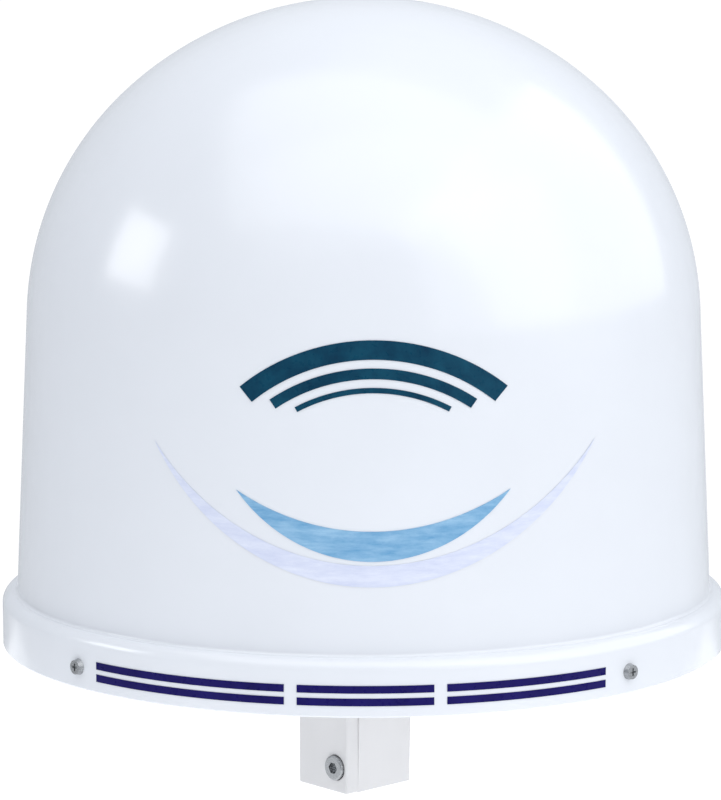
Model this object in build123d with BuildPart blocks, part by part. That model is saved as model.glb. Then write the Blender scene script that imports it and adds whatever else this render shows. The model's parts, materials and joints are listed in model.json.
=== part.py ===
from build123d import *
import os
from math import acos, cos, degrees, hypot, pi, radians, sin, sqrt, tan

# A 37 cm stabilised marine dome antenna on a mast socket.
# Millimetres. +Z is up and the origin is the mouth of the mast bore. The printed front faces -Y.

# ---------------------------------------------------------------- driving dimensions
# Radome
LIP_R = 187.5             # outer radius of the flared lip, half of 375 mm
LIP_Z = 78.0              # underside of the lip above the mouth of the mast bore
LIP_ROUND = 6.0           # rounding on the lip's top edge
LIP_BLEND = 1.5           # concave blend from the lip to the wall
LIP_TOP_Z = LIP_Z + 27.5
WALL = 3.0                # moulded wall thickness
WALL_R = 180.0            # outer wall radius at WALL_R_Z
WALL_R_Z = LIP_Z + 24.0
WALL_DRAFT = 2.7          # degrees the wall leans inwards
CROWN_R = 180.0
CROWN_Z = LIP_Z + 151.0   # centre of the crown arc
SHOULDER_R = 160.0
STEP_Z = 104.0            # inner step that rests on the gasket

# Tray under the radome
TRAY_R = 183.5
TRAY_Z = 80.0
TRAY_FLOOR = 4.0
TRAY_TOP_Z = 102.0
RIM = 3.5
SCREW_Z = 89.0            # height of the radome screws
SCREW_TURNS = (45.0, 135.0, 225.0, 315.0)   # from the front, towards +X
SCREW_TIP_R = 174.5       # mast axis to the tips of the radome screws
NUT_R = 176.5             # mast axis to the inner faces of their square nuts
GASKET = (179.0, 184.0)

# Mast socket, turned 45 degrees so that its clamp faces left-front
MAST_BORE_R = 12.9        # slides over a 25.4 mm mast tube
MAST_BORE_DEPTH = 58.0
CABLE_HOLE_R = 7.0
BLOCK_HALF = 18.5
BLOCK_BACK = 16.5         # mast axis to the rear face
CLAMP_SPLIT = 21.0        # mast axis to the seat of the clamp cap
CLAMP_FACE = 29.0         # mast axis to the outside of the clamp cap
CLAMP_TOP_Z = 62.0
BLOCK_DRAFT = 1.5
FLANGE_Z = 72.0
CLAMP_SCREWS = ((10.0, 13.0), (-10.0, 50.0))
CLAMP_SCREW_TIP = 15.2    # mast axis to the tip of each clamp screw
HEAD_SINK = 3.0           # depth of the screw heads' counterbores
SHOE_Z = 31.5             # middle of the clamp shoe
SHOE_BACK = 6.0           # mast axis to the shoe's rear face
FLANGE_SIZE = (72.0, 50.0, 6.0)   # length, width, corner radius
FLANGE_BOLTS = ((28.0, 16.0), (28.0, -16.0), (-28.0, 16.0), (-28.0, -16.0))

# Azimuth stage
PLATE_R = 60.0            # backing plate
PLATE_Z = TRAY_Z + TRAY_FLOOR
PLATE_TOP = PLATE_Z + 3.0
SPINDLE_R = 10.0
SPINDLE_TOP = 124.0
SPINDLE_FLANGE_R = 22.0
SPINDLE_FLANGE_T = 4.0
BEARING_OUT_R = 16.0
BEARING_W = 7.0
BEARING_ZS = (96.5, 113.0)
BALL_R = 1.7
BALL_RING_R = 13.0
BALLS = 12
TABLE_R = 75.0
TABLE_Z = 104.0
TABLE_TOP = TABLE_Z + 5.0
HUB_R = 20.0
HUB_TOP = 121.0
AZIMUTH_MODULE = 1.5
RING_TEETH = 72
RING_W = 6.0
RING_BORE_R = 43.0
PINION_TEETH = 18
PINION_TURN = 50.0        # bearing of the azimuth pinion from +X, in degrees
MOTOR_SIZE = 42.0         # square stepper frame
MOTOR_LENGTH = 34.0

# Elevation stage
PIVOT_Z = 228.0
REST_ELEVATION = 35.0     # boresight above the horizon in the drawn position
ARM_X = 62.0              # inner face of each arm
ARM_T = 4.0
CHEEK_X = 54.0            # inner face of each cradle cheek
CHEEK_T = 4.0
PIVOT_R = 3.95
BUSH_BORE_R = 4.0
ELEVATION_MOTOR_Z = 140.0
BELT_X = -70.3            # inner edge of the belt
BELT_W = 5.4
BIG_PULLEY_TEETH = 60
SMALL_PULLEY_TEETH = 20
BELT_PITCH = 3.0
BELT_T = 1.4
BELT_GAP = 0.35           # from the pulleys' teeth to the inside of the belt

# Dish and feed, measured along the boresight from the elevation axis
DISH_R = 130.0
DISH_FOCUS = 99.0
DISH_P = 25.0             # vertex of the reflecting face
DISH_T = 1.8
DISH_BORE_R = 12.5
CROSS_P = 10.0            # rear face of the cradle's cross plate
CROSS_T = 4.0
SPACER_XV = 32.0          # dish spacers sit at plus and minus this, both ways
FEED_R = 10.0
FEED_LOW = -4.0           # rear end of the feed tube
FEED_LENGTH = 104.0
FEED_WALL = 1.5
FEED_BUSH_R = 14.0
CAP_P = 112.0             # front face of the feed's cover
CAP_R = 23.0
SUBREFLECTOR_R = 25.0
LNB_P = -30.0             # front face of the receiver's square body
LNB_LENGTH = 42.0
SKEW_MODULE = 1.0
SKEW_GEAR_TEETH = 48
SKEW_PINION_TEETH = 18
SKEW_GEAR_P = 15.0
SKEW_GEAR_W = 5.0

# Fasteners: shank radius, head radius and head height
M3_R = 1.5
M4_R = 2.0
M4_HEAD_R = 3.5
M4_HEAD_H = 2.4
M4_CROSS = (4.0, 0.9)     # length and width of the cross recess
CROSS_DEPTH = 1.2
M6_R = 3.0
M6_HOLE_R = 3.2
M6_FLATS = 10.0
M8_R = 4.0
M8_HEAD_R = 6.5
M8_KEY = 5.5              # width across the hexagon socket
PAN_R = 4.0               # pan heads of the radome screws
PAN_H = 2.6

PRESSURE_ANGLE = radians(20.0)
BACKLASH = 0.4
SLIP = 0.05               # radial clearance of screws and sleeves inside one body
ART_LOW = 0.05            # vinyl graphics start this far off the surface
ART_HIGH = 0.30

# ---------------------------------------------------------------- worked-out values
draft_angle = radians(WALL_DRAFT)
wall_reach = WALL_R * cos(draft_angle) + WALL_R_Z * sin(draft_angle)
arc_step = CROWN_R - SHOULDER_R
lean = (wall_reach - SHOULDER_R - CROWN_Z * sin(draft_angle)) / arc_step
SHOULDER_END = WALL_DRAFT + degrees(acos(lean))
SHOULDER_CENTRE = (
    arc_step * cos(radians(SHOULDER_END)),
    CROWN_Z + arc_step * sin(radians(SHOULDER_END)),
)
azimuth_centres = AZIMUTH_MODULE * (RING_TEETH + PINION_TEETH) / 2
PINION_XY = (
    azimuth_centres * cos(radians(PINION_TURN)),
    azimuth_centres * sin(radians(PINION_TURN)),
)
SKEW_MOTOR_X = SKEW_MODULE * (SKEW_GEAR_TEETH + SKEW_PINION_TEETH) / 2
BIG_PULLEY_R = BIG_PULLEY_TEETH * BELT_PITCH / (2 * pi) - 0.38
SMALL_PULLEY_R = SMALL_PULLEY_TEETH * BELT_PITCH / (2 * pi) - 0.38
tilt = radians(REST_ELEVATION)
BORESIGHT = Vector(0, -cos(tilt), sin(tilt))
PIVOT = Vector(0, 0, PIVOT_Z)


# ---------------------------------------------------------------- planes and shared profiles
def level(z):
    return Plane.XY.offset(z)


def block_plane(z):
    """Level plane whose x runs along the clamp face and whose -y points out of it."""
    return Plane(origin=(0, 0, z), x_dir=(1, -1, 0), z_dir=(0, 0, 1))


def clamp_plane(out):
    """Upright plane parallel to the clamp face, out from the mast axis."""
    reach = out / sqrt(2)
    return Plane(origin=(-reach, -reach, 0), x_dir=(1, -1, 0), z_dir=(-1, -1, 0))


def radial_plane(turn, reach):
    """Upright plane facing outwards, turn degrees from the front towards +X."""
    across = sin(radians(turn))
    ahead = cos(radians(turn))
    return Plane(
        origin=(reach * across, -reach * ahead, 0), x_dir=(ahead, across, 0), z_dir=(across, -ahead, 0)
    )


def side_plane(x):
    """Upright plane across X, drawn in y and z."""
    return Plane(origin=(x, 0, 0), x_dir=(0, 1, 0), z_dir=(1, 0, 0))


def boresight_plane(p):
    """Plane square to the boresight, p along it from the elevation axis."""
    return Plane(origin=PIVOT + BORESIGHT * p, x_dir=(1, 0, 0), z_dir=BORESIGHT)


def cheek_plane(x):
    """Plane across X through the elevation axis, drawn in p along the boresight and below it."""
    return Plane(origin=PIVOT + Vector(x, 0, 0), x_dir=BORESIGHT, z_dir=(1, 0, 0))


DISH_SECTION = Plane(origin=PIVOT, x_dir=(1, 0, 0), z_dir=(0, -sin(tilt), -cos(tilt)))
FEED_AXIS = Axis(PIVOT, BORESIGHT)


def discs(plane, points, radius):
    with BuildSketch(plane) as spots:
        with Locations(*points):
            Circle(radius)
    return spots.sketch


def hexagons(plane, points, across_flats):
    with BuildSketch(plane) as spots:
        with Locations(*points):
            RegularPolygon(across_flats / 2, 6, major_radius=False)
    return spots.sketch


def crosses(plane, points, length, width):
    """Cross recesses of screw heads."""
    with BuildSketch(plane) as spots:
        with Locations(*points):
            Rectangle(length, width)
            Rectangle(width, length)
    return spots.sketch


def plate(plane, centre, width, height, corner):
    with BuildSketch(plane) as outline:
        with Locations(centre):
            RectangleRounded(width, height, corner)
    return outline.sketch


def ring_points(radius, count, first):
    """Points spaced evenly on a circle, the first at the given bearing."""
    turns = [radians(first + 360.0 * n / count) for n in range(count)]
    return [(radius * cos(t), radius * sin(t)) for t in turns]


def wall_x(z, offset):
    """Radius of the leaning wall at height z, moved outwards by offset."""
    return (wall_reach + offset - z * sin(draft_angle)) / cos(draft_angle)


def dome_arcs(offset):
    """Draws the shoulder and crown arcs moved outwards by offset; returns their two ends."""
    shoulder = CenterArc(SHOULDER_CENTRE, SHOULDER_R + offset, WALL_DRAFT, SHOULDER_END - WALL_DRAFT)
    crown = CenterArc((0, CROWN_Z), CROWN_R + offset, SHOULDER_END, 90 - SHOULDER_END)
    return shoulder @ 0, crown @ 1


def dome_solid(offset):
    """Solid under the dome's outer surface above the lip, grown by offset."""
    with BuildPart() as core:
        with BuildSketch(Plane.XZ):
            with BuildLine():
                shoulder_foot, apex = dome_arcs(offset)
                Polyline(shoulder_foot, (wall_x(LIP_TOP_Z, offset), LIP_TOP_Z), (0, LIP_TOP_Z), apex)
            make_face()
        revolve(axis=Axis.Z)
    return core.part


def gear_outline(plane, centre, teeth, module, first):
    """Spur gear with straight chords on its involute flanks; one tooth points at first degrees."""
    pitch_r = module * teeth / 2
    base_r = pitch_r * cos(PRESSURE_ANGLE)
    root_r = pitch_r - 1.25 * module
    tip_r = pitch_r + 0.95 * module
    flank_low = max(base_r, root_r + 0.3 * module)

    def half_angle(r):
        if r <= base_r:
            r = base_r
        roll = sqrt((r / base_r) ** 2 - 1) - acos(base_r / r)
        pitch_roll = tan(PRESSURE_ANGLE) - PRESSURE_ANGLE
        return pi / (2 * teeth) - BACKLASH / (4 * pitch_r) + pitch_roll - roll

    flank = [(r, half_angle(r)) for r in (root_r, flank_low, pitch_r, tip_r)]
    points = []
    for tooth in range(teeth):
        middle = radians(first) + 2 * pi * tooth / teeth
        rising = [(r, middle - half) for r, half in flank]
        falling = [(r, middle + half) for r, half in reversed(flank)]
        points += [(centre[0] + r * cos(a), centre[1] + r * sin(a)) for r, a in rising + falling]
    with BuildSketch(plane) as outline:
        with BuildLine():
            Polyline(*points, close=True)
        make_face()
    return outline.sketch


def dish_curve(r, behind):
    """Height of the dish's reflecting face along the boresight, less a distance behind it."""
    return DISH_P + r * r / (4 * DISH_FOCUS) - behind


# ---------------------------------------------------------------- mast socket
with BuildPart() as mast_socket_block:
    block_depth = BLOCK_BACK + CLAMP_SPLIT
    block_middle = (BLOCK_BACK - CLAMP_SPLIT) / 2
    with BuildSketch(block_plane(0)):
        with Locations((0, block_middle)):
            Rectangle(2 * BLOCK_HALF, block_depth)
    extrude(amount=FLANGE_Z)
    side_faces = [
        face
        for face in mast_socket_block.faces().filter_by(GeomType.PLANE)
        if abs(face.normal_at().dot(Vector(1, -1, 0).normalized())) > 0.99
    ]
    draft(side_faces, Plane.XY, -BLOCK_DRAFT)
    rear_corners = mast_socket_block.faces().sort_by(Axis((0, 0, 0), (1, 1, 0)))[-1]
    fillet(rear_corners.edges().sort_by(Axis((0, 0, 0), (1, -1, 0)))[::3], 1.5)
    extrude(plate(block_plane(FLANGE_Z), (0, 0), *FLANGE_SIZE), amount=TRAY_Z - FLANGE_Z)
    extrude(discs(level(0), [(0, 0)], MAST_BORE_R), amount=MAST_BORE_DEPTH, mode=Mode.SUBTRACT)
    extrude(discs(level(0), [(0, 0)], CABLE_HOLE_R), amount=TRAY_Z, mode=Mode.SUBTRACT)
    extrude(plate(clamp_plane(0), (0, SHOE_Z), 15, 26, 0.5), amount=CLAMP_SPLIT, mode=Mode.SUBTRACT)
    extrude(discs(clamp_plane(15), CLAMP_SCREWS, M8_R + SLIP), amount=10, mode=Mode.SUBTRACT)
    extrude(discs(block_plane(FLANGE_Z), FLANGE_BOLTS, M6_HOLE_R), amount=10, mode=Mode.SUBTRACT)

with BuildPart() as clamp_cap:
    extrude(
        plate(clamp_plane(CLAMP_SPLIT), (0, CLAMP_TOP_Z / 2), 2 * BLOCK_HALF, CLAMP_TOP_Z, 1.2),
        amount=CLAMP_FACE - CLAMP_SPLIT,
    )
    fillet(clamp_cap.faces().sort_by(Axis((0, 0, 0), (1, 1, 0)))[0].edges(), 1.0)
    extrude(discs(clamp_plane(CLAMP_SPLIT), CLAMP_SCREWS, M8_R + 0.3), amount=10, mode=Mode.SUBTRACT)
    sink_plane = clamp_plane(CLAMP_FACE - HEAD_SINK)
    extrude(discs(sink_plane, CLAMP_SCREWS, M8_HEAD_R + 0.3), amount=5, mode=Mode.SUBTRACT)

with BuildPart() as clamp_shoe:
    extrude(plate(clamp_plane(SHOE_BACK), (0, SHOE_Z), 14, 25, 0.5), amount=CLAMP_SPLIT - 0.2 - SHOE_BACK)
    extrude(discs(level(0), [(0, 0)], MAST_BORE_R + SLIP), amount=60, mode=Mode.SUBTRACT)

with BuildPart() as clamp_screws:
    shank_length = CLAMP_FACE - HEAD_SINK - CLAMP_SCREW_TIP
    extrude(discs(clamp_plane(CLAMP_SCREW_TIP), CLAMP_SCREWS, M8_R), amount=shank_length)
    extrude(discs(sink_plane, CLAMP_SCREWS, M8_HEAD_R), amount=5)
    head_rims = clamp_screws.faces().group_by(Axis((0, 0, 0), (1, 1, 0)))[0].edges()
    fillet(head_rims, 0.8)
    extrude(hexagons(clamp_plane(CLAMP_FACE + 2), CLAMP_SCREWS, M8_KEY), amount=-3, mode=Mode.SUBTRACT)

with BuildPart() as flange_bolts:
    extrude(discs(block_plane(FLANGE_Z - 4), FLANGE_BOLTS, M6_R), amount=25)
    extrude(hexagons(block_plane(FLANGE_Z - 4), FLANGE_BOLTS, M6_FLATS), amount=4)

with BuildPart() as flange_nuts:
    extrude(hexagons(block_plane(PLATE_TOP), FLANGE_BOLTS, M6_FLATS), amount=5)
    extrude(discs(block_plane(PLATE_TOP), FLANGE_BOLTS, M6_R + SLIP), amount=5, mode=Mode.SUBTRACT)

# ---------------------------------------------------------------- tray
GLAND_XY = (46.0, 112.0)
GLAND_THREAD_R = 8.0
GLAND_FLATS = 22.0
BOARD_Y = 128.0
RIBS = 12                 # the one that would cross the board is left out
RIB_IN = 86.0
RIB_OUT = 177.0
RING_RIB = (120.0, 123.0)
BOARD_BOSSES = ((-26.0, 110.0), (26.0, 110.0), (-26.0, 146.0), (26.0, 146.0))

with BuildPart() as base_tray:
    extrude(discs(level(TRAY_Z), [(0, 0)], TRAY_R), amount=TRAY_TOP_Z - TRAY_Z)
    extrude(discs(level(TRAY_Z + TRAY_FLOOR), [(0, 0)], TRAY_R - RIM), amount=30, mode=Mode.SUBTRACT)
    for rib in range(RIBS):
        if rib != 3:
            with BuildSketch(level(PLATE_Z)):
                with PolarLocations(0, 1, start_angle=360.0 * rib / RIBS):
                    with Locations(((RIB_IN + RIB_OUT) / 2, 0)):
                        Rectangle(RIB_OUT - RIB_IN, 3)
            extrude(amount=8)
    with BuildSketch(level(PLATE_Z)):
        Circle(RING_RIB[1])
        Circle(RING_RIB[0], mode=Mode.SUBTRACT)
        with Locations((0, BOARD_Y)):
            Rectangle(125, 60, mode=Mode.SUBTRACT)
    extrude(amount=6)
    extrude(discs(level(PLATE_Z), BOARD_BOSSES, 3.5), amount=6)
    extrude(discs(level(PLATE_Z + 1), BOARD_BOSSES, 1.3), amount=6, mode=Mode.SUBTRACT)
    extrude(discs(level(TRAY_Z), [(0, 0)], CABLE_HOLE_R), amount=10, mode=Mode.SUBTRACT)
    extrude(discs(block_plane(TRAY_Z), FLANGE_BOLTS, M6_HOLE_R), amount=10, mode=Mode.SUBTRACT)
    extrude(discs(level(TRAY_Z), [GLAND_XY], GLAND_THREAD_R + 0.2), amount=10, mode=Mode.SUBTRACT)
    for turn in SCREW_TURNS:
        slot_face = radial_plane(turn, TRAY_R + 2)
        extrude(discs(slot_face, [(0, SCREW_Z)], 2.3), amount=-8, mode=Mode.SUBTRACT)
        with BuildSketch(slot_face):
            with Locations((0, SCREW_Z + 10)):
                Rectangle(4.6, 20)
        extrude(amount=-8, mode=Mode.SUBTRACT)

with BuildPart() as cable_gland:
    extrude(hexagons(level(TRAY_Z - 5), [GLAND_XY], GLAND_FLATS), amount=5)
    extrude(discs(level(TRAY_Z), [GLAND_XY], GLAND_THREAD_R), amount=11)
    extrude(discs(level(TRAY_Z - 18), [GLAND_XY], 10.0), amount=13)
    fillet(cable_gland.faces().sort_by(Axis.Z)[0].edges(), 3.0)
    extrude(discs(level(TRAY_Z - 18), [GLAND_XY], 5.5), amount=30, mode=Mode.SUBTRACT)

with BuildPart() as gland_seal:
    extrude(discs(level(TRAY_Z - 16), [GLAND_XY], 5.5), amount=12)
    extrude(discs(level(TRAY_Z - 16), [GLAND_XY], 3.0), amount=12, mode=Mode.SUBTRACT)

with BuildPart() as gland_locknut:
    extrude(hexagons(level(PLATE_Z), [GLAND_XY], GLAND_FLATS), amount=4)
    extrude(discs(level(PLATE_Z), [GLAND_XY], GLAND_THREAD_R + SLIP), amount=4, mode=Mode.SUBTRACT)

with BuildPart() as interface_board:
    extrude(plate(level(PLATE_Z + 6), (0, BOARD_Y), 60, 45, 2), amount=1.6)
    extrude(plate(level(PLATE_Z + 7.6), (-8, BOARD_Y), 34, 30, 1.5), amount=8)
    extrude(plate(level(PLATE_Z + 7.6), (21, BOARD_Y - 8), 9, 16, 0.5), amount=7)
    extrude(plate(level(PLATE_Z + 7.6), (21, BOARD_Y + 11), 9, 10, 0.5), amount=10)

# ---------------------------------------------------------------- azimuth stage, fixed side
SPINDLE_SCREWS = ring_points(16.0, 4, 0)
RING_SCREWS = ring_points(48.0, 6, 30)

with BuildPart() as backing_plate:
    extrude(discs(level(PLATE_Z), [(0, 0)], PLATE_R), amount=PLATE_TOP - PLATE_Z)
    extrude(discs(level(PLATE_Z), [(0, 0)], CABLE_HOLE_R), amount=5, mode=Mode.SUBTRACT)
    extrude(discs(block_plane(PLATE_Z), FLANGE_BOLTS, M6_HOLE_R), amount=5, mode=Mode.SUBTRACT)
    extrude(discs(level(PLATE_Z), SPINDLE_SCREWS, M4_R + SLIP), amount=5, mode=Mode.SUBTRACT)
    extrude(discs(level(PLATE_Z), RING_SCREWS, M3_R + SLIP), amount=5, mode=Mode.SUBTRACT)

with BuildPart() as azimuth_spindle:
    extrude(discs(level(PLATE_TOP), [(0, 0)], SPINDLE_FLANGE_R), amount=SPINDLE_FLANGE_T)
    extrude(discs(level(PLATE_TOP), [(0, 0)], 12.0), amount=BEARING_ZS[0] - PLATE_TOP)
    extrude(discs(level(PLATE_TOP), [(0, 0)], SPINDLE_R), amount=SPINDLE_TOP - PLATE_TOP)
    chamfer(azimuth_spindle.faces().sort_by(Axis.Z)[-1].edges(), 1.0)
    extrude(discs(level(PLATE_TOP), [(0, 0)], 5.0), amount=40, mode=Mode.SUBTRACT)
    extrude(discs(level(PLATE_TOP), SPINDLE_SCREWS, M4_R + SLIP), amount=5, mode=Mode.SUBTRACT)

with BuildPart() as spindle_screws:
    flange_top = PLATE_TOP + SPINDLE_FLANGE_T
    head_top = level(flange_top + M4_HEAD_H)
    extrude(discs(level(flange_top), SPINDLE_SCREWS, M4_HEAD_R), amount=M4_HEAD_H)
    extrude(crosses(head_top, SPINDLE_SCREWS, *M4_CROSS), amount=-CROSS_DEPTH, mode=Mode.SUBTRACT)
    extrude(discs(level(PLATE_Z + 0.2), SPINDLE_SCREWS, M4_R), amount=flange_top - PLATE_Z)

with BuildPart() as azimuth_ring_gear:
    extrude(gear_outline(level(PLATE_TOP), (0, 0), RING_TEETH, AZIMUTH_MODULE, PINION_TURN), amount=RING_W)
    extrude(discs(level(PLATE_TOP), [(0, 0)], RING_BORE_R), amount=RING_W, mode=Mode.SUBTRACT)
    extrude(discs(level(PLATE_TOP), RING_SCREWS, M3_R + SLIP), amount=RING_W, mode=Mode.SUBTRACT)

with BuildPart() as ring_gear_screws:
    ring_top = PLATE_TOP + RING_W
    extrude(discs(level(ring_top), RING_SCREWS, 2.75), amount=2)
    extrude(crosses(level(ring_top + 2), RING_SCREWS, 3.2, 0.8), amount=-1, mode=Mode.SUBTRACT)
    extrude(discs(level(PLATE_Z + 0.2), RING_SCREWS, M3_R), amount=ring_top - PLATE_Z)


def bearing_rings(inner_r, outer_r):
    """One race of each azimuth bearing, with its ball groove."""
    with BuildPart() as races:
        for z in BEARING_ZS:
            with BuildSketch(Plane.XZ):
                with Locations(((inner_r + outer_r) / 2, z + BEARING_W / 2)):
                    Rectangle(outer_r - inner_r, BEARING_W)
                with Locations((BALL_RING_R, z + BEARING_W / 2)):
                    Circle(BALL_R + 0.1, mode=Mode.SUBTRACT)
            revolve(axis=Axis.Z)
    return races


bearing_inner_races = bearing_rings(SPINDLE_R + SLIP / 2, 12.4)
bearing_outer_races = bearing_rings(13.6, BEARING_OUT_R - SLIP / 2)

with BuildPart() as bearing_balls:
    for bearing_z in BEARING_ZS:
        with Locations((0, 0, bearing_z + BEARING_W / 2)):
            with PolarLocations(BALL_RING_R, BALLS):
                Sphere(BALL_R)

with BuildPart() as spindle_circlip:
    with BuildSketch(level(BEARING_ZS[1] + BEARING_W + 0.05)):
        Circle(12.0)
        Circle(SPINDLE_R + SLIP / 2, mode=Mode.SUBTRACT)
        with Locations((0, -11)):
            Rectangle(5, 6, mode=Mode.SUBTRACT)
    extrude(amount=1.0)

# ---------------------------------------------------------------- radome
with BuildPart() as radome:
    with BuildSketch(Plane.XZ):
        with BuildLine():
            wall_top, apex_out = dome_arcs(0)
            inner_top, apex_in = dome_arcs(-WALL)
            Line(apex_out, apex_in)
            Polyline(
                inner_top,
                (wall_x(STEP_Z, -WALL), STEP_Z),
                (LIP_R - WALL, STEP_Z),
                (LIP_R - WALL, LIP_Z),
                (LIP_R - 0.8, LIP_Z),
                (LIP_R, LIP_Z + 0.8),
                (LIP_R, LIP_TOP_Z - LIP_ROUND),
            )
            CenterArc((LIP_R - LIP_ROUND, LIP_TOP_Z - LIP_ROUND), LIP_ROUND, 0, 90)
            blend_x = wall_x(LIP_TOP_Z + LIP_BLEND, 0) + LIP_BLEND
            Line((LIP_R - LIP_ROUND, LIP_TOP_Z), (blend_x, LIP_TOP_Z))
            CenterArc((blend_x, LIP_TOP_Z + LIP_BLEND), LIP_BLEND, 180, 90)
            Line((blend_x - LIP_BLEND, LIP_TOP_Z + LIP_BLEND), wall_top)
        make_face()
    revolve(axis=Axis.Z)
    for turn in SCREW_TURNS:
        extrude(
            discs(radial_plane(turn, LIP_R + 2), [(0, SCREW_Z)], 2.2), amount=-8, mode=Mode.SUBTRACT
        )

with BuildPart() as radome_gasket:
    with BuildSketch(level(TRAY_TOP_Z + 0.3)):
        Circle(GASKET[1])
        Circle(GASKET[0], mode=Mode.SUBTRACT)
    extrude(amount=STEP_Z - TRAY_TOP_Z - 0.3)

with BuildPart() as radome_screws:
    for turn in SCREW_TURNS:
        extrude(discs(radial_plane(turn, SCREW_TIP_R), [(0, SCREW_Z)], M4_R), amount=LIP_R - SCREW_TIP_R)
        with BuildSketch(radial_plane(turn, LIP_R)):
            with Locations((0, SCREW_Z)):
                Circle(PAN_R)
        extrude(amount=PAN_H, taper=12)
        head_face = radial_plane(turn, LIP_R + PAN_H)
        extrude(crosses(head_face, [(0, SCREW_Z)], 3.8, 0.9), amount=-CROSS_DEPTH, mode=Mode.SUBTRACT)

with BuildPart() as radome_nuts:
    for turn in SCREW_TURNS:
        nut_face = radial_plane(turn, NUT_R)
        extrude(plate(nut_face, (0, SCREW_Z), 7, 7, 0.4), amount=3)
        extrude(discs(nut_face, [(0, SCREW_Z)], M4_R + SLIP), amount=3, mode=Mode.SUBTRACT)


# ---------------------------------------------------------------- vinyl graphics on the radome
ART_X = 11.0              # the graphics sit slightly to the right of the front
ARCH_Z = LIP_Z + 78.0     # height of the arches' common centre
ARCHES = ((97.0, 9.0, 40.0), (84.0, 5.0, 35.0), (75.0, 2.5, 29.0))   # radius, thickness, half angle
FRONT_CRESCENT = (64.0, LIP_Z + 104.0, LIP_Z + 72.0, LIP_Z + 86.0)   # half width, tips, low, high
PALE_CRESCENT = (104.0, LIP_Z + 124.0, LIP_Z + 60.0, LIP_Z + 70.0)
LIP_STRIPES = ((-123.0, -30.0), (-24.0, 40.0), (46.0, 121.0))
STRIPE_ZS = (LIP_Z + 7.5, LIP_Z + 13.5)
STRIPE_WIDTH = 3.6


def cut_art(art, low_solid, high_solid):
    """Thin vinyl film: the drawn art, thrown forwards on to the surface between two solids."""
    with BuildPart() as film:
        extrude(art, amount=LIP_R + 5)
        add(high_solid, mode=Mode.INTERSECT)
        add(low_solid, mode=Mode.SUBTRACT)
    return film


def crescent(half_width, tip_z, low_z, high_z):
    """Plain crescent between two arcs that share their tips."""
    left = (ART_X - half_width, tip_z)
    right = (ART_X + half_width, tip_z)
    with BuildSketch(Plane.XZ) as shape:
        with BuildLine():
            ThreePointArc(left, (ART_X, low_z), right)
            ThreePointArc(left, (ART_X, high_z), right)
        make_face()
    return shape.sketch


def lip_cylinder(radius):
    with BuildPart() as core:
        extrude(discs(level(LIP_Z), [(0, 0)], radius), amount=LIP_TOP_Z - LIP_ROUND - LIP_Z)
    return core.part


art_low = dome_solid(ART_LOW)
art_high = dome_solid(ART_HIGH)

with BuildSketch(Plane.XZ) as arches:
    for reach, thickness, half_angle in ARCHES:
        with BuildLine():
            centre = (ART_X, ARCH_Z)
            outer_arc = CenterArc(centre, reach, 90 - half_angle, 2 * half_angle)
            inner_arc = CenterArc(centre, reach - thickness, 90 - half_angle, 2 * half_angle)
            Line(outer_arc @ 0, inner_arc @ 0)
            Line(outer_arc @ 1, inner_arc @ 1)
        make_face()

front_arches = cut_art(arches.sketch, art_low, art_high)
front_crescent = cut_art(crescent(*FRONT_CRESCENT), art_low, art_high)
pale_crescent = cut_art(crescent(*PALE_CRESCENT), art_low, art_high)

with BuildSketch(Plane.XZ) as stripes:
    for start_x, end_x in LIP_STRIPES:
        for stripe_z in STRIPE_ZS:
            with Locations(((start_x + end_x) / 2, stripe_z)):
                Rectangle(end_x - start_x, STRIPE_WIDTH)

lip_stripes = cut_art(stripes.sketch, lip_cylinder(LIP_R + ART_LOW), lip_cylinder(LIP_R + ART_HIGH))

# ---------------------------------------------------------------- azimuth stage, turning side
HUB_LOW = 96.0
HUB_BORE_R = 14.5         # web between the two bearing seats
PINION_LOBE_R = 29.0      # table edge round the azimuth motor
TABLE_HOLES = ((-46.0, -34.0), (0.0, 62.0), (-62.0, 26.0))
MOTOR_SPIGOT_R = 11.0
MOTOR_SHAFT_R = 2.5
ARM_FOOT = 16.0
ARM_HEAD_R = 14.0
ARM_DEPTH = 48.0
BUSH_R = 6.0
ARM_BOLTS = tuple((side * 55.0, y) for side in (-1, 1) for y in (-16.0, 16.0))
GPS_XY = (-28.0, 45.0)
TABLE_BOARD = ((-26.0, -62.0), (26.0, -62.0), (-26.0, -36.0), (26.0, -36.0))

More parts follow.
